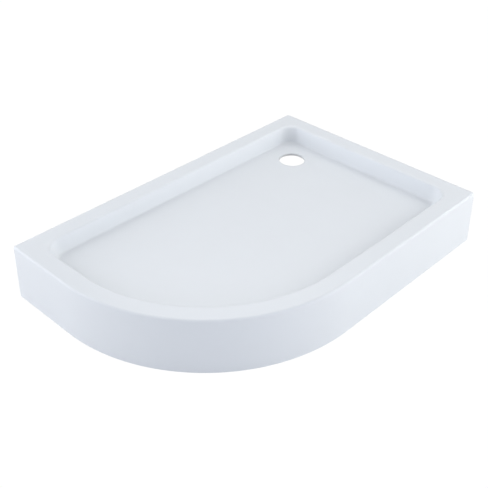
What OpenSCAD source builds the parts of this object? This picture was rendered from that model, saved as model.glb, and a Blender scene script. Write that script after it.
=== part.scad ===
// Offset quadrant shower tray: a thermoformed acrylic shell with its own front skirt,
// a fibreglass backing, a baseboard and seven screw-adjusted feet.
// Millimetres. +Z is up and the floor is at Z = 0. The long wall is at +Y, the short wall
// at +X, and the curved front corner faces -X and -Y.
// The parts are drawn in corner coordinates: u runs along the long wall and v along the
// short wall, both from the corner of the room, and on_site() turns them into place.

/* [Tray] */
// Length of the rim along the long wall
tray_length = 1200; // [1100:10:1400]
// Width of the rim along the short wall
tray_width = 800; // [760:10:900]
// Radius of the curved front at the rim
front_radius = 550; // [450:10:600]
// Height of the rim above the floor
rim_height = 180; // [170:1:230]
// Gap between the skirt and the floor
skirt_gap = 3; // [2.6:0.1:6]

/* [Shell] */
// Thickness of the acrylic shell
shell_t = 4; // [3:0.25:5]
// How far the front skirt stands out at its bottom
skirt_flare = 6; // [0:0.5:12]
// Width of the flat rim, to where the basin wall would meet it
rim_width = 60; // [50:1:90]
// Radius of the rim's outer edge
edge_radius = 8; // [8:0.5:12]
// Radius of the rim's inner edge
lip_radius = 12; // [9:0.5:20]
// Plan radius of the three outer corners
corner_radius = 10; // [9:0.5:16]
// Depth of the basin below the rim at the corner of the room
basin_depth = 54; // [40:1:65]
// Lean of the basin walls from upright, in degrees
wall_lean = 15; // [5:1:25]
// Radius between the basin walls and the floor
cove_radius = 14; // [8:1:25]
// Rise of the basin floor from end to end of the long wall
fall_long = 8; // [4:0.5:14]
// Rise of the basin floor from end to end of the short wall
fall_short = 3; // [0:0.5:8]
// Plan radius of the basin's two front corners at the rim
front_corner_rim = 60; // [30:1:80]
// Plan radius of the basin's two front corners at the floor
front_corner_floor = 50; // [30:1:80]
// Plan radius of the basin's corner by the waste at the rim
waste_corner_rim = 60; // [30:1:90]
// Plan radius of the basin's corner by the waste at the floor
waste_corner_floor = 95; // [40:1:110]
// Height of the turned-down lip along the two walls
wall_lip = 35; // [20:1:60]
// Width of the skirt's return along each wall
skirt_return = 28; // [15:1:60]

/* [Waste] */
// Diameter of the waste hole
waste_bore = 90; // [50:1:110]
// Distance of the waste hole from each wall
waste_offset = 180; // [165:1:220]
// Width left free round the waste hole for the trap
trap_room = 35; // [20:1:60]

/* [Backing] */
// Least thickness of the fibreglass backing
backing_t = 3; // [2:0.25:3.5]
// Bare edge of the shell below the backing
bare_edge = 15; // [5:1:40]
// Thickness of the baseboard
board_t = 12; // [10:0.5:18]
// Distance of the baseboard from the end of the cove
board_margin = 8; // [3:1:20]
// Plan radius of the baseboard's corners
board_corner = 40; // [15:1:60]

/* [Feet] */
// Side of the square foot plate
plate_size = 80; // [70:1:90]
// Thickness of the foot plate
plate_t = 3; // [2:0.5:5]
// Plan radius of the foot plate's corners
plate_corner = 8; // [3:0.5:12]
// Room between a foot plate and the baseboard's edge
plate_margin = 8; // [2:1:25]
// Outer diameter of the foot's thread
thread_d = 12; // [10:0.5:14]
// Running clearance round the thread, on the radius
thread_play = 0.05; // [0.02:0.01:0.1]
// Width across the flats of both nuts
nut_flats = 18; // [17:0.5:22]
// Height of the nut welded to the plate
weld_nut_h = 10; // [8:0.5:12]
// Leg of the weld round that nut
weld_leg = 2; // [1:0.25:3]
// Height of the lock nut
lock_nut_h = 6; // [5:0.5:8]
// Thickness of the washer above the lock nut
washer_t = 2.5; // [1.5:0.25:4]
// Outer diameter of that washer
washer_d = 24; // [22:0.5:30]
// Clearance of the washer round the thread, on the radius
washer_play = 0.5; // [0.2:0.1:1]
// How far the rod's top stands up inside the baseboard
rod_entry = 9; // [6:0.5:9.5]
// Clearance of the baseboard's hole round the rod, on the radius
rod_room = 2; // [1:0.5:4]
// Width across the flats of the rod's spanner collar
collar_flats = 17; // [14:0.5:19]
// Height of the spanner collar
collar_h = 7; // [5:0.5:10]
// Diameter of the ball at the rod's foot
ball_d = 13; // [11:0.5:14]
// Diameter of the neck above the ball
neck_d = 8; // [6:0.5:9]
// Running clearance round the ball, on the radius
ball_play = 0.05; // [0.02:0.01:0.1]

/* [Pads] */
// Diameter of the foot pad
pad_d = 60; // [50:1:80]
// Height of the pad's rim
pad_rim_h = 4; // [3:0.5:6]
// Thickness of the pad's floor below the ball
pad_floor = 6.5; // [5:0.5:9]
// Outer diameter of the pad's hub
hub_d = 24; // [20:0.5:28]
// Share of the ball's radius that the hub reaches above its centre
ball_grip = 0.62; // [0.5:0.02:0.7]
// Number of ribs from the hub to the rim
rib_count = 8; // [4:1:12]
// Thickness of each rib
rib_t = 2; // [1.5:0.25:3]
// Number of grip grooves under the pad
groove_count = 2; // [0:1:3]
// Width of each grip groove
groove_w = 2.5; // [1:0.25:4]
// Depth of each grip groove
groove_depth = 1.2; // [0.5:0.1:2]
// Distance from one grip groove to the next
groove_pitch = 7; // [5:0.5:8]

/* [Screws] */
// Diameter of the plate screws
screw_d = 4; // [3:0.25:5]
// Wood left between the screws' tips and the resin bed
screw_skin = 1; // [0.5:0.5:3]
// Clearance of the plate's holes round the screws, on the radius
screw_room = 0.5; // [0.2:0.1:1]
// Clearance of the baseboard's pilot holes round the screws, on the radius
pilot_play = 0.05; // [0.02:0.01:0.1]
// Diameter of the screw heads
head_d = 8; // [7:0.5:10]
// Height of the screw heads
head_h = 2.8; // [2:0.2:4]
// Distance of the screws from the plate's edges
screw_edge = 11; // [9:0.5:14]

/* [Smoothness] */
// Steps round the curved front
front_steps = 40; // [24:4:60]
// Steps round each corner
corner_steps = 8; // [4:1:10]
// Steps over each rounded edge of the profile
edge_steps = 4; // [3:1:5]

/* [Hidden] */
$fn = 96;
eps = 0.01;
clear_cut = 10;

// Where the shell's profile turns, as insets from the rim's outline
lip_inset = rim_width - lip_radius * tan((90 - wall_lean) / 2);
cove_inset = rim_width + basin_depth * tan(wall_lean) + cove_radius * tan((90 - wall_lean) / 2);

// Heights, from the rim down to the floor
backing_s = shell_t + backing_t;
backing_z = skirt_gap + bare_edge;
board_top = rim_height - basin_depth - backing_s;
board_z = board_top - board_t;
plate_z = board_z - plate_t;
weld_nut_z = plate_z - weld_nut_h;
washer_z = weld_nut_z - washer_t;
lock_nut_z = washer_z - lock_nut_h;
rod_top = board_z + rod_entry;

// The pad and the ball in it
ball_r = ball_d / 2;
socket_r = ball_r + ball_play;
ball_z = pad_floor + socket_r;
hub_top = ball_z + ball_grip * ball_r;
collar_z = ball_z + ball_r + 1;
thread_r = thread_d / 2;

// Length of the plate screws under the head
screw_l = plate_t + board_t - screw_skin;

// Feet, in corner coordinates
board_inset = cove_inset + board_margin;
foot_inset = board_inset + plate_size / 2 + plate_margin;
waste_room = waste_bore / 2 + trap_room;
waste_foot = waste_offset + waste_room + plate_size / 2 + plate_margin;
arc_u = tray_length - front_radius;
arc_v = tray_width - front_radius;
arc_foot = (front_radius - foot_inset) * cos(45);
FEET = [
    [waste_foot, foot_inset],
    [tray_length - foot_inset, foot_inset],
    [foot_inset, waste_foot],
    [foot_inset, tray_width - foot_inset],
    [arc_u - plate_size / 2, tray_width - foot_inset],
    [arc_u + arc_foot, arc_v + arc_foot],
    [arc_u, arc_v + plate_size]
];
foot_numbers = [for (i = [1 : len(FEET)]) i];

function numbered(name) = [for (i = foot_numbers) str(name, i)];

// Turns corner coordinates into the part's own, with the floor's box centred on the origin
module on_site() {
    translate([(tray_length + skirt_flare) / 2, (tray_width + skirt_flare) / 2, 0])
        rotate([0, 0, 180])
            children();
}

module at_foot(number) {
    foot = FEET[number - 1];
    on_site() translate([foot[0], foot[1], 0]) children();
}

// Points of an arc from one angle to another, both ends included
function arc_points(centre, radius, from, to, steps) = [
    for (i = [0 : steps])
        let (angle = from + (to - from) * i / steps)
        [centre[0] + radius * cos(angle), centre[1] + radius * sin(angle)]
];

// The tray's plan, drawn in by one inset on the wall sides and another on the front sides
function outline(wall, front, waste_r, end_r) = concat(
    arc_points([wall + waste_r, wall + waste_r], waste_r, 180, 270, corner_steps),
    arc_points([tray_length - front - end_r, wall + end_r], end_r, 270, 360, corner_steps),
    arc_points([arc_u, arc_v], front_radius - front, 0, 90, front_steps),
    arc_points([wall + end_r, tray_width - front - end_r], end_r, 90, 180, corner_steps)
);

function outer_corner(inset) = max(corner_radius - inset, 1);

// Stations of the shell's profile at a depth s below its surface, from the floor out to the
// skirt. Each is [wall inset, front inset, drop below the rim, whether the drop follows the
// floor's fall, corner radius by the waste, corner radius at the ends].
function basin_station(inset, inset_0, drop) =
    let (share = (inset_0 - lip_inset) / (cove_inset - lip_inset))
    let (growth = inset_0 - inset)
    let (waste_r = waste_corner_rim + (waste_corner_floor - waste_corner_rim) * share)
    let (end_r = front_corner_rim + (front_corner_floor - front_corner_rim) * share)
    [inset, inset, drop, 1, waste_r + growth, end_r + growth];

function cove_stations(s) = [
    for (i = [edge_steps : -1 : 0])
        let (angle = wall_lean + (90 - wall_lean) * i / edge_steps)
        basin_station(
            cove_inset - (cove_radius + s) * cos(angle),
            cove_inset - cove_radius * cos(angle),
            basin_depth - cove_radius + (cove_radius + s) * sin(angle)
        )
];

function lip_stations(s) = [
    for (i = [0 : edge_steps])
        let (angle = wall_lean + (90 - wall_lean) * i / edge_steps)
        basin_station(
            lip_inset + (lip_radius - s) * cos(angle),
            lip_inset + lip_radius * cos(angle),
            lip_radius - (lip_radius - s) * sin(angle)
        )
];

function edge_stations(s) = [
    for (i = [edge_steps : -1 : 0])
        let (angle = 90 * i / edge_steps)
        let (inset = edge_radius - (edge_radius - s) * cos(angle))
        let (corner = outer_corner(inset))
        [inset, inset, edge_radius - (edge_radius - s) * sin(angle), 0, corner, corner]
];

function skirt_station(s, z) =
    let (reach = (rim_height - edge_radius - z) / (rim_height - edge_radius - skirt_gap))
    let (corner = outer_corner(s))
    [s, s - skirt_flare * reach, rim_height - z, 0, corner, corner];

// The skirt has a ring where the backing ends, also on the shell, so that the two match there
function profile(s, bottom) =
    concat(
        cove_stations(s),
        lip_stations(s),
        edge_stations(s),
        [for (z = bottom < backing_z ? [backing_z, bottom] : [bottom]) skirt_station(s, z)]
    );

// Depth of the basin's floor below the rim at a point of the plan, and its share of the most
function floor_depth(u, v) =
    basin_depth - fall_long * u / tray_length - fall_short * v / tray_width;
function fall_share(u, v, level) = level ? 1 : floor_depth(u, v) / basin_depth;

// One ring of the shell: a station's outline, each point at its own height
function ring(station, s, level) = [
    for (p = outline(station[0], station[1], station[4], station[5]))
        let (share = station[3] == 1 ? fall_share(p[0], p[1], level) : 1)
        [p[0], p[1], rim_height - s - (station[2] - s) * share]
];

function floor_centre(s, level) =
    [arc_u, arc_v, rim_height - s - (level ? basin_depth : floor_depth(arc_u, arc_v))];

function rings(s, bottom, level) = [for (station = profile(s, bottom)) ring(station, s, level)];
function reversed(list) = [for (i = [len(list) - 1 : -1 : 0]) list[i]];
function joined(lists) = [for (list = lists) for (item = list) item];

// Skins over a row of matched rings, closed by a fan of triangles at each end. The second half
// of the rows runs back the other way, so its squares are split along the other diagonal, and
// two sheets that share a surface share its triangles too.
module loft(rows, first_centre, last_centre) {
    n = len(rows[0]);
    last = (len(rows) - 1) * n;
    points = concat(joined(rows), [first_centre, last_centre]);
    sides = [
        for (row = [0 : len(rows) - 2])
            for (i = [0 : n - 1])
                let (a = row * n + i)
                let (b = row * n + (i + 1) % n)
                for (face = row < len(rows) / 2
                    ? [[a, b, b + n], [a, b + n, a + n]]
                    : [[a, b, a + n], [b, b + n, a + n]])
                    face
    ];
    first_fan = [for (i = [0 : n - 1]) [last + n, (i + 1) % n, i]];
    last_fan = [for (i = [0 : n - 1]) [last + n + 1, last + i, last + (i + 1) % n]];
    polyhedron(points = points, faces = concat(sides, first_fan, last_fan), convexity = 8);
}

// A dished sheet between two depths below the shell's surface
module sheet(upper, lower, bottom, level) {
    loft(
        concat(rings(upper, bottom, false), reversed(rings(lower, bottom, level))),
        floor_centre(upper, false),
        floor_centre(lower, level)
    );
}

// Takes the skirt away along both walls, up to a lip, and leaves a return at each end
module wall_openings(lip, back) {
    reach = edge_radius + backing_s + clear_cut;
    top = rim_height - lip;
    translate([-clear_cut, -clear_cut, -clear_cut])
        cube([tray_length - back + clear_cut, reach, top + clear_cut]);
    translate([-clear_cut, -clear_cut, -clear_cut])
        cube([reach, tray_width - back + clear_cut, top + clear_cut]);
}

module waste_hole() {
    translate([waste_offset, waste_offset, 0]) cylinder(r = waste_bore / 2, h = rim_height);
}

module tray_shell() {
    color([0.93, 0.94, 0.96])
        on_site()
            difference() {
                sheet(0, shell_t, skirt_gap, false);
                wall_openings(wall_lip, skirt_return);
                waste_hole();
            }
}

// Sprayed fibreglass under the whole shell, with a level bed of resin for the baseboard
module fibreglass_backing() {
    color([0.78, 0.80, 0.70])
        on_site()
            difference() {
                sheet(shell_t, backing_s, backing_z, true);
                wall_openings(wall_lip - bare_edge / 2, skirt_return - bare_edge / 2);
                waste_hole();
            }
}

// Where the four screws of a plate lie from its centre
function screw_places() =
    let (reach = plate_size / 2 - screw_edge)
    [for (x = [-reach, reach]) for (y = [-reach, reach]) [x, y]];

module base_board() {
    color([0.74, 0.62, 0.44])
        on_site()
            difference() {
                translate([0, 0, board_z])
                    linear_extrude(height = board_t)
                        polygon(outline(board_inset, board_inset, board_corner, board_corner));
                translate([waste_offset, waste_offset, board_z - clear_cut])
                    waste_scallop();
                for (foot = FEET)
                    translate([foot[0], foot[1], board_z - clear_cut])
                        cylinder(r = thread_r + rod_room, h = board_t + 2 * clear_cut);
                for (foot = FEET)
                    for (place = screw_places())
                        translate([foot[0] + place[0], foot[1] + place[1], board_z - 1])
                            cylinder(r = screw_d / 2 + pilot_play, h = screw_l - plate_t + 1.5);
            }
}

// The board's corner is scalloped to leave the waste and its trap free
module waste_scallop() {
    h = board_t + 2 * clear_cut;
    cylinder(r = waste_room, h = h);
    translate([-waste_offset, -waste_offset, 0]) cube([waste_offset + waste_room, waste_offset, h]);
    translate([-waste_offset, -waste_offset, 0]) cube([waste_offset, waste_offset + waste_room, h]);
}

module rounded_square(size, corner) {
    inner = size / 2 - corner;
    square([size, 2 * inner], center = true);
    square([2 * inner, size], center = true);
    for (x = [-inner, inner])
        for (y = [-inner, inner])
            translate([x, y]) circle(r = corner);
}

// A hexagonal prism with the chamfered corners of a nut
module nut_blank(flats, height) {
    corner = flats / 2 / cos(30);
    rise = (corner - flats / 2) * tan(30);
    intersection() {
        cylinder(r = corner, h = height, $fn = 6);
        rotate_extrude()
            polygon([
                [0, 0],
                [flats / 2, 0],
                [corner, rise],
                [corner, height - rise],
                [flats / 2, height],
                [0, height]
            ]);
    }
}

module foot_plate(number) {
    color([0.72, 0.74, 0.76])
        at_foot(number)
            difference() {
                union() {
                    translate([0, 0, plate_z])
                        linear_extrude(height = plate_t) rounded_square(plate_size, plate_corner);
                    translate([0, 0, weld_nut_z]) nut_blank(nut_flats, weld_nut_h + eps);
                    translate([0, 0, plate_z - weld_leg])
                        cylinder(
                            r1 = nut_flats / 2 / cos(30),
                            r2 = nut_flats / 2 / cos(30) + weld_leg,
                            h = weld_leg + eps
                        );
                }
                translate([0, 0, weld_nut_z - 1])
                    cylinder(r = thread_r + thread_play, h = weld_nut_h + plate_t + 2);
                for (place = screw_places())
                    translate([place[0], place[1], plate_z - 1])
                        cylinder(r = screw_d / 2 + screw_room, h = plate_t + 2);
            }
}

// One pan-head screw, standing with its head on the plate's underside
module plate_screw() {
    rotate_extrude()
        polygon([
            [0, -head_h],
            [head_d * 0.28, -head_h],
            [head_d * 0.44, -head_h * 0.72],
            [head_d / 2, -head_h * 0.3],
            [head_d / 2, 0],
            [screw_d / 2, 0],
            [screw_d / 2, screw_l - screw_d],
            [0, screw_l]
        ]);
}

module plate_screws() {
    color([0.66, 0.67, 0.69])
        on_site()
            for (foot = FEET)
                for (place = screw_places())
                    translate([foot[0] + place[0], foot[1] + place[1], plate_z]) plate_screw();
}

// The threaded rod: a ball, a neck, a spanner collar and the thread
module foot_rod(number) {
    color([0.76, 0.77, 0.78])
        at_foot(number) {
            translate([0, 0, ball_z]) sphere(r = ball_r);
            translate([0, 0, ball_z]) cylinder(r = neck_d / 2, h = collar_z - ball_z + eps);
            translate([0, 0, collar_z]) nut_blank(collar_flats, collar_h);
            translate([0, 0, collar_z + collar_h - eps])
                rotate_extrude()
                    polygon([
                        [0, 0],
                        [thread_r, 0],
                        [thread_r, rod_top - collar_z - collar_h - 1],
                        [thread_r - 1, rod_top - collar_z - collar_h],
                        [0, rod_top - collar_z - collar_h]
                    ]);
        }
}

module lock_washer(number) {
    color([0.70, 0.71, 0.73])
        at_foot(number)
            translate([0, 0, washer_z])
                difference() {
                    cylinder(r = washer_d / 2, h = washer_t);
                    translate([0, 0, -1]) cylinder(r = thread_r + washer_play, h = washer_t + 2);
                }
}

module lock_nut(number) {
    color([0.80, 0.80, 0.78])
        at_foot(number)
            translate([0, 0, lock_nut_z])
                difference() {
                    nut_blank(nut_flats, lock_nut_h);
                    translate([0, 0, -1]) cylinder(r = thread_r + thread_play, h = lock_nut_h + 2);
                }
}

// The moulded pad: a ribbed dish with a hub that holds the ball, and grip grooves below
module foot_pad(number) {
    rim_r = pad_d / 2;
    hub_r = hub_d / 2;
    web_h = pad_rim_h - 1;
    color([0.16, 0.16, 0.17])
        at_foot(number)
            difference() {
                union() {
                    rotate_extrude()
                        polygon([
                            [0, 0],
                            [rim_r - 0.8, 0],
                            [rim_r, 0.8],
                            [rim_r, pad_rim_h - 0.6],
                            [rim_r - 0.6, pad_rim_h],
                            [rim_r - 2.4, pad_rim_h],
                            [rim_r - 3, web_h],
                            [hub_r + 1.5, web_h],
                            [hub_r, web_h + 1.5],
                            [hub_r - 0.6, hub_top - 1],
                            [hub_r - 1.6, hub_top],
                            [0, hub_top]
                        ]);
                    for (i = [0 : rib_count - 1])
                        rotate([0, 0, 360 * i / rib_count])
                            pad_rib(hub_r - 2, rim_r - 2.7, web_h - 0.5);
                }
                translate([0, 0, ball_z]) sphere(r = socket_r);
                for (i = [0 : 1 : groove_count - 1])
                    grip_groove(rim_r - groove_pitch * (i + 1));
            }
}

module pad_rib(near, far, low) {
    translate([0, rib_t / 2, 0])
        rotate([90, 0, 0])
            linear_extrude(height = rib_t)
                polygon([
                    [near, low],
                    [far, low],
                    [far, pad_rim_h - 0.4],
                    [near + 2.2, hub_top - 2.4],
                    [near, hub_top - 2.4]
                ]);
}

module grip_groove(radius) {
    translate([0, 0, -1])
        difference() {
            cylinder(r = radius + groove_w / 2, h = groove_depth + 1);
            translate([0, 0, -1]) cylinder(r = radius - groove_w / 2, h = groove_depth + 3);
        }
}

tray_shell();
fibreglass_backing();
base_board();
plate_screws();
for (i = foot_numbers) {
    foot_plate(i);
    foot_rod(i);
    lock_washer(i);
    lock_nut(i);
    foot_pad(i);
}
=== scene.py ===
# %% [markdown]
# # An offset quadrant shower tray
# The CAD frame gives every piece its place and size. This lesson replaces the plain solids that
# the eye rests on with smoother surfaces, gives each piece the finish of its material, and lights
# the tray as a plain studio picture. Each step is short, so that it can be run and looked at alone.

import math

import bmesh
import bpy
import numpy as np
from mathutils import Matrix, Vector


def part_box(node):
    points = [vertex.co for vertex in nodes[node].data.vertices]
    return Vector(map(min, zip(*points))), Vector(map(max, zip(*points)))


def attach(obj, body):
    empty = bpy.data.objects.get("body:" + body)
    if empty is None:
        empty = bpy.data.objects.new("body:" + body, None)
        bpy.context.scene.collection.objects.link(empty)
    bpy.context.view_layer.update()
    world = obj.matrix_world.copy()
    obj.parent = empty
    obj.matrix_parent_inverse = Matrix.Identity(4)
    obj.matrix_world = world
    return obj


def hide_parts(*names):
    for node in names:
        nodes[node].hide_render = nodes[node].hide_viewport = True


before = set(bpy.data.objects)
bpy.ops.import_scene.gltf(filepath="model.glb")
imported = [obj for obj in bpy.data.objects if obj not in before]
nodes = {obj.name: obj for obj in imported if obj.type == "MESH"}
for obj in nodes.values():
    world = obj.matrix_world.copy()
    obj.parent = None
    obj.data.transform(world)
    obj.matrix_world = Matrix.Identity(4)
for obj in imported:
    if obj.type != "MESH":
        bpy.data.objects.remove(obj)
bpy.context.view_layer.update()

# %% [markdown]
# ## The tray's own coordinates
# A corner tray is easiest to describe from the corner of the room: u runs along the long wall and v
# along the short wall. The sizes that the frame can tell are read from it, so that the surfaces
# below stay on the CAD solids, and the rest are the sizes of the drawing. Three radii are tighter
# than the drawing's, as the photographed edges are: the lip, the cove and the corner by the waste.

# %% Sizes in metres
low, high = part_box("tray_shell")
FLARE = 0.006
LENGTH = high.x - low.x - FLARE
WIDTH = high.y - low.y - FLARE
RIM_Z = high.z
SKIRT_Z = low.z
FRONT_R = 0.550
SHELL_T = 0.004
RIM_WIDTH = 0.060
EDGE_R, LIP_R, COVE_R, CORNER_R = 0.008, 0.008, 0.009, 0.010
DEPTH, FALL_LONG, FALL_SHORT = 0.054, 0.008, 0.003
LEAN = math.radians(15)
END_RIM_R, END_FLOOR_R = 0.060, 0.050
WASTE_RIM_R, WASTE_FLOOR_R = 0.034, 0.068
WASTE_R, WASTE_AT = 0.045, 0.180
HALF_TURN_IN = math.tan((math.pi / 2 - LEAN) / 2)
LIP_INSET = RIM_WIDTH - LIP_R * HALF_TURN_IN
COVE_INSET = RIM_WIDTH + DEPTH * math.tan(LEAN) + COVE_R * HALF_TURN_IN
print(f"tray {LENGTH:.3f} x {WIDTH:.3f} m, rim at {RIM_Z:.3f} m, cove ends {COVE_INSET:.4f} m in")


# %% From corner coordinates into the frame
def in_frame(points):
    """Turns (u, v, z) into the frame's (x, y, z): x = half the length - u, y = half the width - v."""
    half = np.array([(LENGTH + FLARE) / 2, (WIDTH + FLARE) / 2])
    return np.concatenate([half - points[..., :2], points[..., 2:]], axis=-1)


print("corner of the room at", in_frame(np.array([0.0, 0.0, RIM_Z])))

# %% [markdown]
# ## Skinning a grid
# Nearly every piece here is a grid of points: rows along a profile, columns round an outline. The
# Spin tool makes such a grid only round an axis, and a tray isn't round, so one helper takes any
# grid, or several copies of it, and makes a closed mesh. It joins the last column to the first,
# merges the points of a pole, and uses the sign of the enclosed volume to make the faces point
# outwards.


# %% A closed mesh from a grid of points
SAME_POINT = 1e-7
SHARP = 35


def skin(name, grid, ring=False, sharp=SHARP):
    """Squares between neighbours of an (m, n, 3) grid, or of k of them in one (k, m, n, 3) array.
    The columns close, and the rows close too if ring is set. The enclosed volume is a sixth of the
    sum of each triangle's a . (b x c)."""
    copies, m, n = grid.shape[-4] if grid.ndim == 4 else 1, grid.shape[-3], grid.shape[-2]
    index = np.arange(copies * m * n).reshape(copies, m, n)
    near = index if ring else index[:, :-1]
    far = np.roll(index, -1, axis=1) if ring else index[:, 1:]
    squares = np.stack([near, far, np.roll(far, -1, 2), np.roll(near, -1, 2)], axis=-1).reshape(-1, 4)
    points = grid.reshape(-1, 3)
    a, b, c, d = (points[squares[:, k]] for k in range(4))
    volume = (np.einsum("ij,ij->", a, np.cross(b, c)) + np.einsum("ij,ij->", a, np.cross(c, d))) / 6
    if volume < 0:
        squares = squares[:, ::-1]
    mesh = bpy.data.meshes.new(name)
    mesh.from_pydata(points.tolist(), [], squares.tolist())
    merged = bmesh.new()
    merged.from_mesh(mesh)
    bmesh.ops.remove_doubles(merged, verts=merged.verts, dist=SAME_POINT)
    merged.to_mesh(mesh)
    merged.free()
    mesh.shade_smooth()
    mesh.set_sharp_from_angle(angle=math.radians(sharp))
    piece = bpy.data.objects.new(name, mesh)
    bpy.context.scene.collection.objects.link(piece)
    print(f"{name}: {len(mesh.polygons)} faces, {abs(volume) * 1e6:.2f} cm3")
    return piece


# %% [markdown]
# ## The plan of the tray
# Seen from above, every ring of the shell is four arcs joined by straight runs: the corner by the
# waste, the two ends and the big front curve. A curve object could hold the same outline, but its
# points wouldn't pair up from one outline to the next. Here each ring has the same number of points
# in the same order, so neighbouring rings can be skinned. The runs along the walls get more points
# near the waste, where the floor's spokes are packed closest.


# %% Rings round the plan
CURVE_POINTS, END_POINTS, WASTE_POINTS = 121, 17, 25
LONG_WALL, SHORT_WALL, LONG_FRONT, SHORT_FRONT = 60, 40, 24, 12
CROWDING = 1.8


def arc(centre_u, centre_v, radius, start, end, count):
    """Points at even angles, both ends included: centre + radius * (cos, sin), in degrees."""
    angle = np.radians(np.linspace(start, end, count))
    return np.stack([centre_u + radius * np.cos(angle), centre_v + radius * np.sin(angle)], -1)


def run(start, end, count, power=1.0):
    """Points strictly between two ends, at the shares t ** power of the way."""
    share = (np.arange(1, count + 1) / (count + 1)) ** power
    return start + (end - start) * share[:, None]


def plan(wall, front, waste_r, end_r):
    """The outline drawn in by `wall` on the wall sides and `front` on the front sides."""
    waste = arc(wall + waste_r, wall + waste_r, waste_r, 180, 270, WASTE_POINTS)
    long_end = arc(LENGTH - front - end_r, wall + end_r, end_r, 270, 360, END_POINTS)
    curve = arc(LENGTH - FRONT_R, WIDTH - FRONT_R, FRONT_R - front, 0, 90, CURVE_POINTS)
    short_end = arc(wall + end_r, WIDTH - front - end_r, end_r, 90, 180, END_POINTS)
    return np.concatenate([
        waste, run(waste[-1], long_end[0], LONG_WALL, CROWDING),
        long_end, run(long_end[-1], curve[0], SHORT_FRONT),
        curve, run(curve[-1], short_end[0], LONG_FRONT),
        short_end, run(waste[0], short_end[-1], SHORT_WALL, CROWDING)[::-1],
    ])


print("points in a ring:", len(plan(0, 0, CORNER_R, CORNER_R)))

# %% [markdown]
# ## The profile of the shell
# The real shell is one sheet of acrylic, heated and sucked down over a mould, so the skirt, the
# rim, the basin and its floor run into each other over rounded edges. Bevels on a plain box would
# round the edges too, but not round a basin whose depth changes all the way round. So a profile
# gives the height and the inset of each ring. The floor falls to the waste, so the basin's rings
# dip by a share that changes from point to point. The underside is the same profile at a depth
# below the surface.


# %% One ring of the shell at a depth below its surface
LEAST_CORNER = 0.001


def floor_depth(u, v):
    """Depth of the floor below the rim: the most at the waste, less along both walls."""
    return DEPTH - FALL_LONG * u / LENGTH - FALL_SHORT * v / WIDTH


def basin_ring(inset, surface_inset, drop, depth, level=False):
    """A ring of the basin. Its corner radii go from the rim's to the floor's with the share of
    the way in, and its height is the rim's less the depth and the drop scaled by the floor's fall."""
    share = (surface_inset - LIP_INSET) / (COVE_INSET - LIP_INSET)
    grown = surface_inset - inset
    waste_r = WASTE_RIM_R + (WASTE_FLOOR_R - WASTE_RIM_R) * share + grown
    end_r = END_RIM_R + (END_FLOOR_R - END_RIM_R) * share + grown
    flat = plan(inset, inset, waste_r, end_r)
    fall = 1.0 if level else floor_depth(flat[:, 0], flat[:, 1]) / DEPTH
    z = RIM_Z - depth - (drop - depth) * fall + np.zeros(len(flat))
    return np.column_stack([flat, z])


def outer_ring(wall, front, z):
    """A ring of the rim's edge or the skirt, all at one height."""
    corner = max(CORNER_R - wall, LEAST_CORNER)
    flat = plan(wall, front, corner, corner)
    return np.column_stack([flat, np.full(len(flat), z)])


def skirt_ring(depth, z):
    """The skirt leans out by the flare between the rim's edge and its own bottom."""
    reach = (RIM_Z - EDGE_R - z) / (RIM_Z - EDGE_R - SKIRT_Z)
    return outer_ring(depth, depth - FLARE * reach, z)


print(f"the floor lies {floor_depth(WASTE_AT, WASTE_AT) * 1000:.1f} mm below the rim at the waste")

# %% The rings of one side of the sheet
ROUND_ROWS, SKIRT_ROWS = 13, 8
WALL_SHARES = (0.25, 0.5, 0.75)
RIM_SHARES = (0.04, 0.25, 0.5, 0.75, 0.96)


def between(first, last, shares):
    """Rings between two rings, at the given shares of the way."""
    return [first + (last - first) * share for share in shares]


def side_rings(depth, bottom, level=False):
    """From the end of the cove, up the wall, over the lip, across the rim and down the skirt:
    each rounded part turns through the angle between upright and level round its own centre."""
    cove = [
        basin_ring(COVE_INSET - (COVE_R + depth) * math.cos(t), COVE_INSET - COVE_R * math.cos(t),
                   DEPTH - COVE_R + (COVE_R + depth) * math.sin(t), depth, level)
        for t in np.linspace(math.pi / 2, LEAN, ROUND_ROWS)
    ]
    lip = [
        basin_ring(LIP_INSET + (LIP_R - depth) * math.cos(t), LIP_INSET + LIP_R * math.cos(t),
                   LIP_R - (LIP_R - depth) * math.sin(t), depth, level)
        for t in np.linspace(LEAN, math.pi / 2, ROUND_ROWS)
    ]
    edge = [
        outer_ring(EDGE_R - (EDGE_R - depth) * math.cos(t), EDGE_R - (EDGE_R - depth) * math.cos(t),
                   RIM_Z - EDGE_R + (EDGE_R - depth) * math.sin(t))
        for t in np.linspace(math.pi / 2, 0, ROUND_ROWS)
    ]
    heights = np.linspace(RIM_Z - EDGE_R, bottom, SKIRT_ROWS + 1)[1:]
    skirt = [skirt_ring(depth, z) for z in heights]
    wall = between(cove[-1], lip[0], WALL_SHARES)
    rim = between(lip[-1], edge[0], RIM_SHARES)
    return np.array(cove + wall + lip + rim + edge + skirt)


print("rings of one side:", len(side_rings(0.0, SKIRT_Z)))

# %% [markdown]
# ## The floor and the waste hole
# The floor is one sloping plane with a round hole in it. A boolean would cut the hole as well, but
# it leaves one face with a great many corners. Spokes from the hole's centre to the end of the cove
# give each ring point a partner on the hole's edge instead, and a few rings between them keep the
# squares from getting too long. The cut edge of real acrylic is scraped, so the hole's edge and the
# skirt's bottom edge get a narrow round.


# %% Floor rings and edges
SPOKE_SHARES = np.array([0.0, 0.03, 0.1, 0.22, 0.4, 0.6, 0.8, 0.93])
ROUNDING_TURNS = np.radians((30, 60))


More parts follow.
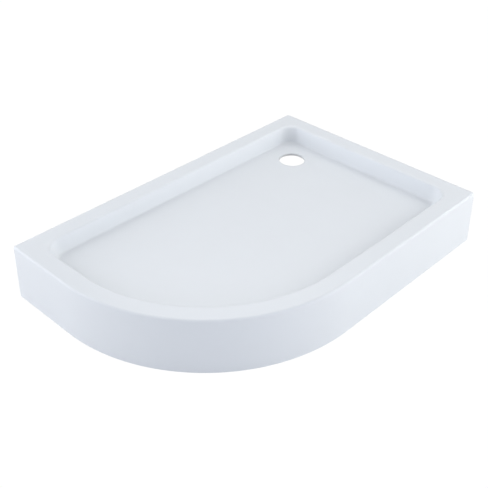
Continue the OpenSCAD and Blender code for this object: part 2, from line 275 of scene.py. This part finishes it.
def floor_side(depth, outer, radius):
    """Rings at shares of the straight spokes from the hole's edge to the last ring of the cove,
    each point as far below the rim as the floor there, and the depth more."""
    end = outer[:, :2]
    spoke = end - WASTE_AT
    hole = WASTE_AT + radius * spoke / np.linalg.norm(spoke, axis=1, keepdims=True)
    flat = hole + (end - hole) * SPOKE_SHARES[:, None, None]
    z = RIM_Z - depth - floor_depth(flat[..., 0], flat[..., 1])
    return np.concatenate([flat, z[..., None]], axis=-1)


def rounded_hole(top, bottom, rounding):
    """The hole's wall from the underside up to the surface, with a rounded upper edge."""
    wall = bottom[0].copy()
    wall[:, 2] = top[0][:, 2] - rounding
    spoke = (wall[:, :2] - WASTE_AT) / np.linalg.norm(wall[:, :2] - WASTE_AT, axis=1, keepdims=True)
    rows = [wall]
    for t in ROUNDING_TURNS:
        out = rounding * (1 - math.cos(t))
        rise = rounding * math.sin(t)
        rows.append(np.column_stack([wall[:, :2] + spoke * out, wall[:, 2] + rise]))
    return np.array(rows)


print("floor rings between the hole and the cove:", len(SPOKE_SHARES))

# %% The acrylic shell
EDGE_ROUND = 0.0005
surface = side_rings(0.0, SKIRT_Z + EDGE_ROUND)
under = side_rings(SHELL_T, SKIRT_Z + EDGE_ROUND)
foot = np.array([skirt_ring(EDGE_ROUND, SKIRT_Z), skirt_ring(SHELL_T - EDGE_ROUND, SKIRT_Z)])
floor_top = floor_side(0.0, surface[0], WASTE_R + EDGE_ROUND)
floor_under = floor_side(SHELL_T, under[0], WASTE_R)
hole_wall = rounded_hole(floor_top, floor_under, EDGE_ROUND)
shell_grid = np.concatenate([floor_top, surface, foot, under[::-1], floor_under[::-1], hole_wall])
shell = skin("acrylic_shell", in_frame(shell_grid), ring=True)

# %% [markdown]
# ## Open wall sides
# Along the two walls nobody sees a skirt, and the maker saves the sheet: it is trimmed to a short
# turned-down lip, with a narrow return at each end that stiffens the skirt. Rings of uneven height
# could leave the skirt out, but their squares would lie askew at the returns. A boolean with a
# plain box is the same straight cut as the maker's router makes.


# %% Trimming the wall sides
def cut_box(piece, low_corner, high_corner):
    """Takes a box, given in corner coordinates, away from the piece and applies the cut."""
    corners = in_frame(np.array([low_corner, high_corner], float))
    cutter_mesh = bpy.data.meshes.new("cutter")
    cutter = bmesh.new()
    bmesh.ops.create_cube(cutter, size=1.0)
    cutter.to_mesh(cutter_mesh)
    cutter.free()
    centre, size = corners.mean(0), abs(corners[0] - corners[1])
    cutter_mesh.transform(Matrix.Translation(centre) @ Matrix.Diagonal([*size, 1.0]))
    box = bpy.data.objects.new("cutter", cutter_mesh)
    bpy.context.scene.collection.objects.link(box)
    trim = piece.modifiers.new("trim", "BOOLEAN")
    trim.operation, trim.solver, trim.object = "DIFFERENCE", "EXACT", box
    bpy.context.view_layer.update()
    depsgraph = bpy.context.evaluated_depsgraph_get()
    trimmed = bpy.data.meshes.new_from_object(piece.evaluated_get(depsgraph))
    piece.modifiers.clear()
    piece.data = trimmed
    bpy.data.objects.remove(box)


OUTSIDE = (-0.01, -0.01, -0.01)


def trim_walls(piece, lip, back, reach=0.025):
    """Opens both wall sides below the lip, and leaves a return of width `back` at their ends."""
    cut_box(piece, OUTSIDE, (LENGTH - back, reach, RIM_Z - lip))
    cut_box(piece, OUTSIDE, (reach, WIDTH - back, RIM_Z - lip))
    piece.data.shade_smooth()
    piece.data.set_sharp_from_angle(angle=math.radians(SHARP))
    print(piece.name, "after trimming:", len(piece.data.polygons), "faces")


WALL_LIP, SKIRT_RETURN = 0.035, 0.028
trim_walls(shell, WALL_LIP, SKIRT_RETURN)
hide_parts("tray_shell")
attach(shell, "tray")

# %% [markdown]
# ## The sprayed backing
# Under the acrylic lies a crust of chopped glass strands and resin, sprayed by hand. It is level
# under the floor, where the board is pressed into it, and lumpy everywhere else, and it stops
# short of the skirt's bottom in a ragged line. A Displace modifier would make lumps too, but it
# needs a painted map to spare the level bed. A sum of a few sine waves is faded out there by the
# row of each point, and gives the same lumps on every run.


# %% Lumps from sine waves
def lumps(points, waves=14, seed=3):
    """A sum of sines in random directions, from -1 to 1, the same for the same seed."""
    random = np.random.default_rng(seed)
    direction = random.normal(size=(waves, 3))
    direction /= np.linalg.norm(direction, axis=1, keepdims=True)
    per_metre = random.uniform(60, 260, waves)
    phase = random.uniform(0, 2 * math.pi, waves)
    total = sum(
        np.sin(points @ direction[k] * per_metre[k] + phase[k]) / (k + 2) ** 0.5
        for k in range(waves)
    )
    return total / np.abs(total).max()


BACKING_T, BARE_EDGE = 0.003, 0.015
HAIR = 0.00002
BACKING_END = SKIRT_Z + BARE_EDGE
back_upper = side_rings(SHELL_T + HAIR, BACKING_END)
back_lower = side_rings(SHELL_T + BACKING_T, BACKING_END, level=True)
print("rings of each side of the backing:", len(back_lower))

# %% The backing's two sides
LEVEL_ROWS, EASING_ROWS, MOST_THINNED, HALF_RAGGED = 12, 6, 0.55, 0.005
row = np.arange(len(back_lower))
thin = 0.5 + 0.5 * lumps(back_lower)
weight = np.clip((row - LEVEL_ROWS) / EASING_ROWS, 0, 1)[:, None] * thin * MOST_THINNED
back_lower += (back_upper - back_lower) * weight[..., None]
down_skirt = np.clip((row - (len(row) - 1 - SKIRT_ROWS)) / SKIRT_ROWS, 0, 1)[:, None]
ragged = HALF_RAGGED * (1 + lumps(back_upper[-1], seed=8)) * down_skirt
back_upper[..., 2] += ragged
back_lower[..., 2] += ragged
bed_top = floor_side(SHELL_T + HAIR, back_upper[0], WASTE_R)
bed_under = floor_side(SHELL_T, back_lower[0], WASTE_R)
bed_under[..., 2] = back_lower[0, :, 2].mean()
backing = skin(
    "sprayed_backing",
    in_frame(np.concatenate([bed_top, back_upper, back_lower[::-1], bed_under[::-1]])),
    ring=True,
    sharp=60,
)
trim_walls(backing, WALL_LIP - BARE_EDGE / 2, SKIRT_RETURN - BARE_EDGE / 2)
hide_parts("fibreglass_backing")
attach(backing, "tray")

# %% [markdown]
# ## The feet
# Each foot is a threaded rod with a ball at its bottom, a neck and a hexagon for the spanner. A
# Screw modifier could wind the thread, which would then have to be joined to the rest. Here a rod
# is one closed surface of turning whose radius also depends on the angle: the hexagon is the
# nearest flat's distance over a cosine, and the thread is a groove that winds once round per pitch.


# %% Radii that depend on the angle
PITCH, THREAD_DEPTH = 0.00175, 0.00107
CREST, ROOT = 1 / 8, 1 / 4


def hexagon(angle, flats):
    """Radius of a hexagon with a corner at angle 0: half its flats over the cosine to the flat."""
    return flats / 2 / np.cos((angle % (math.pi / 3)) - math.pi / 6)


def blank(angle, rise, height, flats):
    """A nut blank: the hexagon, drawn in to the flats' circle by a 30 degree chamfer at both ends."""
    slope = 1 / math.tan(math.radians(30))
    end = flats / 2 + np.minimum(rise, height - rise) * slope
    return np.minimum(hexagon(angle, flats), end)


def thread(angle, z, radius, depth=THREAD_DEPTH):
    """A right-hand thread: the share of a pitch at z less the turn, through a ramp with a flat
    crest of an eighth and a flat root of a quarter of the pitch."""
    share = (z / PITCH - angle / (2 * math.pi)) % 1.0
    ramp = np.clip((np.abs(share - 0.5) - CREST / 2) / (0.5 - CREST / 2 - ROOT / 2), 0, 1)
    return radius - depth * ramp


print(f"the corners of a 17 mm hexagon lie {hexagon(0.0, 0.017) * 1000:.2f} mm from its axis")

# %% The rod's grid
COLUMNS = 48
BALL_R, NECK_R, COLLAR_FLATS, COLLAR_H, THREAD_R = 0.0065, 0.004, 0.017, 0.007, 0.006
NECK_RISE, RUN_OUT, TIP_CHAMFER = 0.001, 0.002, 0.001
BALL_ROWS, ROWS_PER_TURN = 15, 10
COLLAR_RISES = np.array([0, 0.2, 0.4, 0.7, 1.0, 6.0, 6.3, 6.6, 6.8, 7.0]) * 0.001
rod_low, rod_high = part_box("foot_rod_1")
BALL_Z = rod_low.z + BALL_R
COLLAR_Z = BALL_Z + BALL_R + NECK_RISE
ROD_TOP = rod_high.z
angles = np.arange(COLUMNS) * 2 * math.pi / COLUMNS


def rod_rows():
    """(radius at every angle, height) of each row, from the ball's lowest point to the rod's top."""
    rows = []
    top_turn = math.pi - math.asin(NECK_R / BALL_R)
    for t in np.linspace(0, top_turn, BALL_ROWS):
        rows.append((np.full(COLUMNS, BALL_R * math.sin(t)), BALL_Z - BALL_R * math.cos(t)))
    rows.append((np.full(COLUMNS, NECK_R), COLLAR_Z))
    for rise in COLLAR_RISES:
        rows.append((blank(angles, rise, COLLAR_H, COLLAR_FLATS), COLLAR_Z + rise))
    start = COLLAR_Z + COLLAR_H
    for z in np.arange(start, ROD_TOP - 1e-6, PITCH / ROWS_PER_TURN):
        grown = min(1.0, (z - start) / RUN_OUT)
        tip = THREAD_R - max(0.0, z - (ROD_TOP - TIP_CHAMFER))
        rows.append((np.minimum(thread(angles, z, THREAD_R, THREAD_DEPTH * grown), tip), z))
    tip = THREAD_R - TIP_CHAMFER
    rows.append((np.minimum(thread(angles, ROD_TOP, THREAD_R), tip), ROD_TOP))
    rows.append((np.zeros(COLUMNS), ROD_TOP))
    return rows


def turned(rows, centre):
    """Puts rows of radii and heights round an upright axis: (x + r cos, y + r sin, z)."""
    radius = np.array([r for r, _ in rows])
    z = np.repeat(np.array([z for _, z in rows])[:, None], COLUMNS, axis=1)
    return np.stack([centre[0] + radius * np.cos(angles), centre[1] + radius * np.sin(angles), z], -1)


ROWS = rod_rows()
print("rows in a rod:", len(ROWS))

# %% Seven rods
FEET = range(1, 8)
foot_at = {}
for i in FEET:
    rod_low, rod_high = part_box(f"foot_rod_{i}")
    foot_at[i] = ((rod_low.x + rod_high.x) / 2, (rod_low.y + rod_high.y) / 2)
    rod = skin(f"rod_{i}", turned(ROWS, foot_at[i]), sharp=28)
    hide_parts(f"foot_rod_{i}")
    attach(rod, f"foot_{i}_rod")

# %% [markdown]
# ## Plate screws and weld beads
# Four pan-head screws with a cross recess hold each foot plate to the board. Booleans could cut the
# 28 recesses, but slowly, and with long thin faces in the heads. Here the head is a surface of
# turning too, with the recess pressed into it: near one of the cross's two axes the surface sinks
# by the recess's depth. One grid is then copied to all the places by adding the places to it. The
# nut on each plate is welded on, and the bead is a ring whose thickness swells and shrinks where
# the welder's rod paused.

# %% One pan-head screw
plate_low, plate_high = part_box("foot_plate_1")
screw_low, screw_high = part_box("plate_screws")
PLATE_T, SCREW_EDGE, HEAD_R, SHANK_R = 0.003, 0.011, 0.004, 0.002
PLATE_Z = plate_high.z - PLATE_T
HEAD_H = PLATE_Z - screw_low.z
SCREW_REACH = (plate_high.x - plate_low.x) / 2 - SCREW_EDGE
FACE_ROWS, FACE_SHARE, SIDE_SHARE = 19, 0.999, 0.25


def cross_recess(radius, angle, depth=0.0016, half_width=0.0006, arm=0.0024, slope=0.0003):
    """How deep the recess is at a radius and angle: the full depth where the distance to the nearer
    axis of the cross, radius * |sin|, is under half the arm's width, easing off over the slope."""
    quarter = (angle + math.pi / 4) % (math.pi / 2) - math.pi / 4
    beside = np.clip((half_width + slope - radius * np.abs(np.sin(quarter))) / slope, 0, 1)
    along = np.clip((arm - radius) / (2 * slope), 0, 1)
    return depth * beside * along


def screw_grid():
    """Rows (radius, height) from the middle of the head's face, which looks down, to the tip. The
    head's side is a quarter of its height, and its face bulges over the rest as a superellipse:
    with (1 - (r / R) to the 4th) to the 0.4th."""
    face_r = np.linspace(0, FACE_SHARE, FACE_ROWS)[:, None] * HEAD_R
    swell = SIDE_SHARE + (1 - SIDE_SHARE) * (1 - (face_r / HEAD_R) ** 4) ** 0.4
    face_z = PLATE_Z - HEAD_H * swell + cross_recess(face_r, angles)
    face_r = np.repeat(face_r, COLUMNS, axis=1)
    shank = [(HEAD_R, 0.0), (SHANK_R, 0.0), (SHANK_R, screw_high.z - PLATE_Z - 2 * SHANK_R)]
    shank_r = np.array([r for r, _ in shank] + [0.0])[:, None] + np.zeros(COLUMNS)
    shank_z = PLATE_Z + np.array([z for _, z in shank] + [screw_high.z - PLATE_Z])
    shank_z = shank_z[:, None] + np.zeros(COLUMNS)
    radius, z = np.concatenate([face_r, shank_r]), np.concatenate([face_z, shank_z])
    return np.stack([radius * np.cos(angles), radius * np.sin(angles), z], axis=-1)


print(f"screw head {HEAD_H * 1000:.1f} mm high, {SCREW_REACH * 1000:.0f} mm from the foot's axes")

# %% All the screws in one piece
spots = np.array([
    (x + i * SCREW_REACH, y + j * SCREW_REACH, 0.0)
    for x, y in foot_at.values() for i in (-1, 1) for j in (-1, 1)
])
screws = skin("pan_head_screws", screw_grid() + spots[:, None, None, :], sharp=28)
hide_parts("plate_screws")
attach(screws, "tray")


# %% Weld beads
BEAD_COLUMNS, BEAD_ROWS = 132, 10


def bead_grid(reach=0.0113, thick=0.0014, ripples=22, swell=0.11, lag=0.8, below=0.0007):
    """A ring tube: (reach + t cos, t sin) turned round the axis. Its thickness t swells by a share
    of the cosine of the ripples' angle, which lags on one side of the tube."""
    around = np.arange(BEAD_COLUMNS) * 2 * math.pi / BEAD_COLUMNS
    across = (np.arange(BEAD_ROWS) * 2 * math.pi / BEAD_ROWS)[:, None]
    tube = thick * (1 + swell * np.cos(ripples * around + lag * np.cos(across)))
    radius = reach + tube * np.cos(across)
    z = PLATE_Z - below + tube * np.sin(across)
    return np.stack([radius * np.cos(around), radius * np.sin(around), z], axis=-1)


centres = np.array([(x, y, 0.0) for x, y in foot_at.values()])
beads = skin("weld_beads", bead_grid() + centres[:, None, None, :], ring=True, sharp=80)
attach(beads, "tray")

# %% [markdown]
# ## Finishes
# The object has five finishes: polished acrylic, glass fibre in resin, chipboard, bright zinc and
# moulded black plastic. Pictures could be wrapped round the pieces, but they would need a map for
# each piece, so every pattern here is worked out by nodes from the place on the object. Four of the
# finishes need a noise that is squeezed into a range, so that is built once as a node group, and
# each material places it with its own size and limits.


# %% A shared group of soft noise
FINE_SHARE = 0.35


def build_mottle():
    """Noise at two sizes, added and mapped: outputs a mask from 0 to 1 and the raw height."""
    group = bpy.data.node_groups.new("mottle", "ShaderNodeTree")
    face = group.interface
    face.new_socket("Vector", in_out="INPUT", socket_type="NodeSocketVector")
    for label, value in (("Scale", 40.0), ("Fine", 6.0), ("Low", 0.4), ("High", 0.6)):
        face.new_socket(label, in_out="INPUT", socket_type="NodeSocketFloat").default_value = value
    face.new_socket("Mask", in_out="OUTPUT", socket_type="NodeSocketFloat")
    face.new_socket("Height", in_out="OUTPUT", socket_type="NodeSocketFloat")
    add, link = group.nodes.new, group.links.new
    entry, leave = add("NodeGroupInput"), add("NodeGroupOutput")
    coarse, fine, finer = add("ShaderNodeTexNoise"), add("ShaderNodeTexNoise"), add("ShaderNodeMath")
    both, squeeze = add("ShaderNodeMath"), add("ShaderNodeMapRange")
    finer.operation, both.operation = "MULTIPLY", "MULTIPLY_ADD"
    both.inputs[1].default_value = FINE_SHARE
    coarse.inputs["Detail"].default_value = 3.0
    fine.inputs["Detail"].default_value = 2.0
    link(entry.outputs["Vector"], coarse.inputs["Vector"])
    link(entry.outputs["Vector"], fine.inputs["Vector"])
    link(entry.outputs["Scale"], coarse.inputs["Scale"])
    link(entry.outputs["Scale"], finer.inputs[0])
    link(entry.outputs["Fine"], finer.inputs[1])
    link(finer.outputs[0], fine.inputs["Scale"])
    link(fine.outputs["Fac"], both.inputs[0])
    link(coarse.outputs["Fac"], both.inputs[2])
    link(both.outputs[0], squeeze.inputs["Value"])
    link(entry.outputs["Low"], squeeze.inputs["From Min"])
    link(entry.outputs["High"], squeeze.inputs["From Max"])
    link(squeeze.outputs["Result"], leave.inputs["Mask"])
    link(both.outputs[0], leave.inputs["Height"])
    return group


MOTTLE = build_mottle()
print("group sockets:", [item.name for item in MOTTLE.interface.items_tree])


# %% Starting a material
# A Mix node keeps a socket for each kind of value: these are the numbers of its colour sockets.
FACTOR, FIRST_COLOUR, SECOND_COLOUR, MIXED_COLOUR = 0, 6, 7, 2


class Finish:
    """A material with its shader, object coordinates, and short ways to add and link nodes."""

    def __init__(self, name, **settings):
        self.material = bpy.data.materials.new(name)
        self.material.use_nodes = True
        self.tree = self.material.node_tree
        self.shader = self.tree.nodes["Principled BSDF"]
        self.place = self.add("ShaderNodeTexCoord").outputs["Object"]
        for label, value in settings.items():
            self.shader.inputs[label.replace("_", " ")].default_value = value

    def add(self, kind, **inputs):
        """A new node, with its inputs set by name."""
        node = self.tree.nodes.new(kind)
        for label, value in inputs.items():
            node.inputs[label.replace("_", " ")].default_value = value
        return node

    def link(self, output, target):
        """Joins an output to an input."""
        self.tree.links.new(output, target)

    def mottle(self, **inputs):
        """The shared noise on object coordinates, with this finish's own values."""
        node = self.tree.nodes.new("ShaderNodeGroup")
        node.node_tree = MOTTLE
        for label, value in inputs.items():
            node.inputs[label].default_value = value
        self.link(self.place, node.inputs["Vector"])
        return node

    def blend(self, mask, first, second):
        """Base colour from the first colour, or another blend's output, to the second, by a mask."""
        mix = self.add("ShaderNodeMix")
        mix.data_type = "RGBA"
        if isinstance(first, tuple):
            mix.inputs[FIRST_COLOUR].default_value = (*first, 1)
        else:
            self.link(first, mix.inputs[FIRST_COLOUR])
        mix.inputs[SECOND_COLOUR].default_value = (*second, 1)
        self.link(mask, mix.inputs[FACTOR])
        self.link(mix.outputs[MIXED_COLOUR], self.shader.inputs["Base Color"])
        return mix.outputs[MIXED_COLOUR]

    def rough(self, mask, least, most):
        """Roughness between two values, by a mask."""
        spread = self.add("ShaderNodeMapRange", To_Min=least, To_Max=most)
        self.link(mask, spread.inputs["Value"])
        self.link(spread.outputs["Result"], self.shader.inputs["Roughness"])

    def bump(self, height, strength, distance):
        """Small relief from a height."""
        relief = self.add("ShaderNodeBump", Strength=strength, Distance=distance)
        self.link(height, relief.inputs["Height"])
        self.link(relief.outputs["Normal"], self.shader.inputs["Normal"])

    def put_on(self, piece):
        """The piece's only material."""
        piece.data.materials.clear()
        piece.data.materials.append(self.material)
        print(f"{piece.name} wears {self.material.name}")


# %% [markdown]
# ## Polished acrylic
# Sanitary acrylic is cast glossy, and drawing it over a mould leaves it very slightly uneven. A
# single roughness and a perfectly smooth surface would look like wet paint, so both wander a
# little. The roughness keeps to a narrow range, because the render's denoiser treats mirror-like
# and dull surfaces differently, and a range across its limit came out in blotches.

# %% The acrylic's white
acrylic = Finish("polished_acrylic", IOR=1.49, Coat_Weight=0.05, Coat_Roughness=0.10)
sheen_mask = acrylic.mottle(Scale=9.0, Fine=3.0, Low=0.45, High=0.9)
acrylic.blend(sheen_mask.outputs["Mask"], (0.792, 0.822, 0.848), (0.798, 0.830, 0.856))
acrylic.rough(sheen_mask.outputs["Mask"], 0.285, 0.34)
acrylic.bump(acrylic.mottle(Scale=26.0, Fine=5.0).outputs["Height"], 0.05, 0.0006)
acrylic.put_on(shell)

# %% [markdown]
# ## Glass fibre in resin
# From below, the backing shows chopped strands of glass that lie in all directions in a greenish
# resin. The strands could be thousands of thin boxes, but a noise that is stretched along one axis
# leaves the same long islands at no cost. A Mapping node stretches before it turns, so one node
# turns the coordinates and a second one stretches them.

# %% Resin and chopped strands
fibre = Finish("glass_fibre", IOR=1.52)


def chopped_strands(aims=((0.0, 0.0, 0.4), (0.5, 0.2, 1.5), (1.3, 0.3, 2.4), (0.3, 1.3, 0.9))):
    """Stretched noise, cut to its highest islands, in four directions: each aim turns the
    coordinates before the stretch, and the strongest of the four is kept at every point."""
    strongest = None
    for aim in aims:
        turned_place = fibre.add("ShaderNodeMapping", Rotation=aim)
        stretch = fibre.add("ShaderNodeMapping", Scale=(26.0, 330.0, 330.0))
        noise = fibre.add("ShaderNodeTexNoise", Scale=1.0, Detail=0.0)
        island = fibre.add("ShaderNodeMapRange", From_Min=0.56, From_Max=0.68)
        fibre.link(fibre.place, turned_place.inputs["Vector"])
        fibre.link(turned_place.outputs["Vector"], stretch.inputs["Vector"])
        fibre.link(stretch.outputs["Vector"], noise.inputs["Vector"])
        fibre.link(noise.outputs["Fac"], island.inputs["Value"])
        if strongest is None:
            strongest = island.outputs["Result"]
            continue
        larger = fibre.add("ShaderNodeMath")
        larger.operation = "MAXIMUM"
        fibre.link(strongest, larger.inputs[0])
        fibre.link(island.outputs["Result"], larger.inputs[1])
        strongest = larger.outputs[0]
    return strongest


strands = chopped_strands()
resin = fibre.mottle(Scale=30.0, Fine=7.0, Low=0.4, High=0.85)
laminate = fibre.blend(strands, (0.56, 0.57, 0.45), (0.76, 0.77, 0.66))
fibre.rough(resin.outputs["Mask"], 0.28, 0.6)
fibre.bump(strands, 0.45, 0.0006)
fibre.put_on(backing)

# %% [markdown]
# ## White resin on the cut edge
# The maker brushes the cut edge of the waste hole with white resin, so that no water creeps along
# the glass. A ring of its own could carry that colour, but it would have to be cut out of the
# backing. The distance from the hole's axis, worked out from object coordinates, picks the same
# faces.

# %% A mask round the waste's axis
WASTE_X, WASTE_Y, _ = in_frame(np.array([WASTE_AT, WASTE_AT, 0.0]))
WHITE_TO, GREEN_FROM = WASTE_R + 0.0004, WASTE_R + 0.0014


def vector_step(operation, source, second=(0.0, 0.0, 0.0)):
    """One step of vector arithmetic in the backing's material."""
    step = fibre.add("ShaderNodeVectorMath")
    step.operation = operation
    step.inputs[1].default_value = second
    fibre.link(source, step.inputs[0])
    return step.outputs["Value" if operation == "LENGTH" else "Vector"]


from_axis = vector_step("SUBTRACT", fibre.place, (WASTE_X, WASTE_Y, 0.0))
distance = vector_step("LENGTH", vector_step("MULTIPLY", from_axis, (1.0, 1.0, 0.0)))
brushed = fibre.add(
    "ShaderNodeMapRange", From_Min=WHITE_TO, From_Max=GREEN_FROM, To_Min=1.0, To_Max=0.0
)
fibre.link(distance, brushed.inputs["Value"])
fibre.blend(brushed.outputs["Result"], laminate, (0.70, 0.715, 0.73))
print(f"the white resin fades out {GREEN_FROM * 1000:.1f} mm from the waste's axis")

# %% [markdown]
# ## Chipboard
# The board is pressed from flat chips of wood, so its faces show flecks a few millimetres wide, and
# its edges show them thinner. A scatter of thin boxes could be pressed together, but nobody sees
# their shape. A Voronoi texture gives every cell a random colour of its own, and the grey of that
# colour picks the tone of the chip. The cells are squeezed in height, because the chips lie flat.

# %% Flat chips of wood
board = Finish("chipboard")
chips = board.add("ShaderNodeTexVoronoi", Scale=210.0)
stretch = board.add("ShaderNodeMapping", Scale=(1.0, 1.0, 2.6))
board.link(board.place, stretch.inputs["Vector"])
board.link(stretch.outputs["Vector"], chips.inputs["Vector"])
grey = board.add("ShaderNodeRGBToBW")
fleck = board.add("ShaderNodeMapRange", From_Min=0.22, From_Max=0.78)
board.link(chips.outputs["Color"], grey.inputs["Color"])
board.link(grey.outputs["Val"], fleck.inputs["Value"])
board.blend(fleck.outputs["Result"], (0.33, 0.215, 0.115), (0.66, 0.50, 0.32))
board.rough(fleck.outputs["Result"], 0.6, 0.85)
board.bump(fleck.outputs["Result"], 0.4, 0.0006)
board.put_on(nodes["base_board"])

# %% [markdown]
# ## Bright zinc
# Plates, rods, washers, nuts and screws are zinc plated: a light metal with a soft, uneven shine.
# One even grey would pass for chrome, so the mottle moves the colour and the roughness together.

# %% Zinc on every steel part
zinc = Finish("bright_zinc", Metallic=1.0)
spangle = zinc.mottle(Scale=90.0, Fine=8.0, Low=0.4, High=0.95)
zinc.blend(spangle.outputs["Mask"], (0.56, 0.58, 0.61), (0.74, 0.75, 0.77))
zinc.rough(spangle.outputs["Mask"], 0.24, 0.42)
zinc.bump(spangle.outputs["Height"], 0.08, 0.0003)
for i in FEET:
    zinc.put_on(bpy.data.objects[f"rod_{i}"])
    for kind in ("foot_plate", "lock_washer", "lock_nut"):
        zinc.put_on(nodes[f"{kind}_{i}"])
zinc.put_on(screws)
zinc.put_on(beads)

# %% [markdown]
# ## Moulded black plastic
# The pads are moulded, and the mould's fine grain dulls their shine. The grain could be modelled,
# but it is far smaller than anything a picture shows, so it is only a shallow bump.

# %% Grained plastic on the pads
plastic = Finish("black_plastic", IOR=1.49)
grain = plastic.mottle(Scale=400.0, Fine=3.0, Low=0.4, High=0.9)
plastic.blend(grain.outputs["Mask"], (0.018, 0.018, 0.019), (0.030, 0.030, 0.032))
plastic.rough(grain.outputs["Mask"], 0.42, 0.58)
plastic.bump(grain.outputs["Height"], 0.25, 0.0002)
for i in FEET:
    plastic.put_on(nodes[f"foot_pad_{i}"])

# %% [markdown]
# ## The white floor
# The ground in such a picture is burnt out to pure white. Paper that is lit until it is white would
# throw its light back under the skirt and wash the shades out. So the camera sees white there, while
# every other ray meets grey paper. Seen from below the floor is clear, to show the feet.


# %% Floor
def build_floor(size=60.0):
    """One square, level with the feet."""
    mesh = bpy.data.meshes.new("studio_floor")
    half = size / 2
    corners = [(-half, -half, 0), (half, -half, 0), (half, half, 0), (-half, half, 0)]
    mesh.from_pydata(corners, [], [(0, 1, 2, 3)])
    floor = bpy.data.objects.new("studio_floor", mesh)
    bpy.context.scene.collection.objects.link(floor)
    return floor


floor = build_floor()
paper = Finish("white_paper", Base_Color=(0.6, 0.6, 0.6, 1), Roughness=0.9)
paper.shader.inputs["Emission Color"].default_value = (1, 1, 1, 1)
paper.shader.inputs["Emission Strength"].default_value = 0.14  # a little light thrown back
paper.put_on(floor)


def seen_as(lit, output, side):
    """The camera sees the floor's upper side as plain white and looks through its lower side,
    and every other ray meets the grey paper, which takes light and shade."""
    rays, face = paper.add("ShaderNodeLightPath"), paper.add("ShaderNodeNewGeometry")
    white = paper.add("ShaderNodeEmission", Strength=1.02)
    upper, both = paper.add("ShaderNodeMixShader"), paper.add("ShaderNodeMixShader")
    paper.link(rays.outputs["Is Camera Ray"], upper.inputs[0])
    paper.link(lit, upper.inputs[1])
    paper.link(white.outputs[0], upper.inputs[2])
    paper.link(face.outputs["Backfacing"], both.inputs[0])
    paper.link(upper.outputs[0], both.inputs[1])
    paper.link(side, both.inputs[2])
    paper.link(both.outputs[0], output)


seen_as(
    paper.shader.outputs[0],
    paper.tree.nodes["Material Output"].inputs["Surface"],
    paper.add("ShaderNodeBsdfTransparent").outputs[0],
)

# %% [markdown]
# ## Air and lights
# The light comes from both sides, with little from behind the camera, so that the curve in the
# middle of the skirt is the darkest part of it. Sharp lamps would draw hard shadows into the basin,
# so two big soft lights stand to the left and right of the view, and three weak ones fill the rest.
# The photographed edges shine only a little, so most of the side lights' power isn't mirrored, and
# a weaker light just in front of each gives the sheen.

# %% Air
world = bpy.data.worlds.new("studio")
world.use_nodes = True
air = world.node_tree
glow, backdrop = air.nodes["Background"], air.nodes.new("ShaderNodeBackground")
glow.inputs["Color"].default_value = (0.98, 0.99, 1.02, 1)
glow.inputs["Strength"].default_value = 0.38
backdrop.inputs["Color"].default_value = (1, 1, 1, 1)
seen, choose = air.nodes.new("ShaderNodeLightPath"), air.nodes.new("ShaderNodeMixShader")
air.links.new(seen.outputs["Is Camera Ray"], choose.inputs[0])
air.links.new(glow.outputs[0], choose.inputs[1])
air.links.new(backdrop.outputs[0], choose.inputs[2])
air.links.new(choose.outputs[0], air.nodes["World Output"].inputs["Surface"])
bpy.context.scene.world = world
bpy.context.scene.view_settings.view_transform = "Standard"
print("air:", world.name, "at strength", round(glow.inputs["Strength"].default_value, 2))


# %% Soft lights
MIDDLE = (0.0, 0.0, 0.1)


def soft_light(name, position, size, power, colour=(1.0, 1.0, 1.0), mirrored=True):
    """A square soft light that faces the middle of the tray and isn't seen itself. One that isn't
    mirrored either gives light without a glare."""
    data = bpy.data.lights.new(name, "AREA")
    data.shape, data.size, data.energy, data.color = "SQUARE", size, power, colour
    lamp = bpy.data.objects.new(name, data)
    away = np.array(position) - np.array(MIDDLE)
    z_axis = away / np.linalg.norm(away)
    x_axis = np.cross([0, 0, 1], z_axis)
    x_axis = x_axis / np.linalg.norm(x_axis)
    facing = Matrix(np.column_stack([x_axis, np.cross(z_axis, x_axis), z_axis]).tolist())
    lamp.matrix_world = Matrix.Translation(position) @ facing.to_4x4()
    lamp.visible_camera, lamp.visible_glossy = False, mirrored
    bpy.context.scene.collection.objects.link(lamp)
    print(f"{name}: {power} W from {np.linalg.norm(away):.2f} m")


soft_light("right_softbox", (2.5, -2.37, 1.6), 3.3, 89, mirrored=False)
soft_light("right_sheen", (2.42, -2.3, 1.55), 3.2, 13)
soft_light("left_softbox", (-2.18, 2.8, 1.5), 3.2, 75, (0.99, 1.0, 1.04), mirrored=False)
soft_light("left_sheen", (-2.1, 2.7, 1.45), 3.1, 25, (0.99, 1.0, 1.04))
soft_light("back_softbox", (1.6, 1.6, 3.0), 2.0, 16)
soft_light("ceiling_softbox", (0.2, 0.2, 3.5), 1.5, 4)
soft_light("front_fill", (-1.8, -1.8, 0.8), 1.4, 11.5, (0.92, 0.98, 1.16), mirrored=False)

# %% [markdown]
# ## Camera
# The camera could be aimed by eye, or by a Track To constraint. Here a pinhole camera was fitted to
# the tray's edges as the photograph shows them, which gave its place, its lens and its three
# directions, roll included.

# %% The fitted camera
STAND = (-1.52058, -1.41885, 1.55179)
RIGHT = (0.69640, -0.71764, 0.00417)
UP = (0.41112, 0.40371, 0.81731)
FORWARD = (0.58822, 0.56746, -0.57618)
camera_data = bpy.data.cameras.new("camera")
camera_data.sensor_width = 36.0
camera_data.lens = 60.525
camera = bpy.data.objects.new("camera", camera_data)
turn = Matrix(np.column_stack([RIGHT, UP, -np.array(FORWARD)]).tolist()).to_4x4()
camera.matrix_world = Matrix.Translation(STAND) @ turn
bpy.context.scene.collection.objects.link(camera)
bpy.context.scene.camera = camera
print("camera at", STAND, "with a lens of", round(camera_data.lens, 3), "mm")
